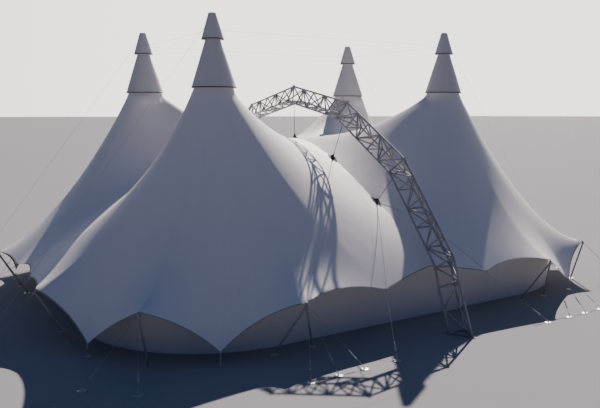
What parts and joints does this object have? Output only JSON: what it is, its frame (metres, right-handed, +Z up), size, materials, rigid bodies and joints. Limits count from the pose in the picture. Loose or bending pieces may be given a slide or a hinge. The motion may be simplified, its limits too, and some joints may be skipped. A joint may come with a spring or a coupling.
{
  "type": "stretch tent",
  "caption": "Four-mast tensioned marquee: fabric roof with peaks on tall masts, hung under an arched truss, with set-back walls, edge poles, guys and ground anchors.",
  "frame": {"origin": "centre of the tent on the ground", "axes": "+X along the long side to the right, +Y from the front (the side nearest the picture's camera) to the back, +Z up"},
  "size_m": [39.84, 34.88, 15.8],
  "materials": {
    "canopy_fabric": "matt coated polyester, off-white",
    "cap_fabric": "matt coated polyester, white",
    "wall_fabric": "matt coated polyester, light grey",
    "mast_steel": "satin grey",
    "pole_steel": "satin grey",
    "arch_steel": "satin light grey",
    "hanger_steel": "matt black",
    "rope_steel": "galvanised wire rope"
  },
  "bodies": {
    "root": {"canopy_front_left": "canopy_fabric", "mast_front_left": "mast_steel", "upper_cap_front_left": "cap_fabric", "lower_cap_front_left": "cap_fabric", "side_poles_front_left": "pole_steel", "end_poles_front_left": "pole_steel", "corner_pole_front_left": "pole_steel", "long_side_guy_front_left": "rope_steel", "short_side_guy_front_left": "rope_steel", "canopy_front_right": "canopy_fabric", "mast_front_right": "mast_steel", "upper_cap_front_right": "cap_fabric", "lower_cap_front_right": "cap_fabric", "side_poles_front_right": "pole_steel", "end_poles_front_right": "pole_steel", "corner_pole_front_right": "pole_steel", "long_side_guy_front_right": "rope_steel", "short_side_guy_front_right": "rope_steel", "canopy_back_left": "canopy_fabric", "mast_back_left": "mast_steel", "upper_cap_back_left": "cap_fabric", "lower_cap_back_left": "cap_fabric", "side_poles_back_left": "pole_steel", "end_poles_back_left": "pole_steel", "corner_pole_back_left": "pole_steel", "long_side_guy_back_left": "rope_steel", "short_side_guy_back_left": "rope_steel", "canopy_back_right": "canopy_fabric", "mast_back_right": "mast_steel", "upper_cap_back_right": "cap_fabric", "lower_cap_back_right": "cap_fabric", "side_poles_back_right": "pole_steel", "end_poles_back_right": "pole_steel", "corner_pole_back_right": "pole_steel", "long_side_guy_back_right": "rope_steel", "short_side_guy_back_right": "rope_steel", "wall_front": "wall_fabric", "wall_back": "wall_fabric", "wall_left": "wall_fabric", "wall_right": "wall_fabric", "ridge_hanger_middle": "hanger_steel", "arch_crown_front": "arch_steel", "arch_shoulder_front": "arch_steel", "arch_leg_front": "arch_steel", "arch_base_front": "arch_steel", "ridge_hanger_front_upper": "hanger_steel", "ridge_hanger_front_lower": "hanger_steel", "arch_crown_back": "arch_steel", "arch_shoulder_back": "arch_steel", "arch_leg_back": "arch_steel", "arch_base_back": "arch_steel", "ridge_hanger_back_upper": "hanger_steel", "ridge_hanger_back_lower": "hanger_steel", "mast_cables": "rope_steel"}
  },
  "joints": []
}
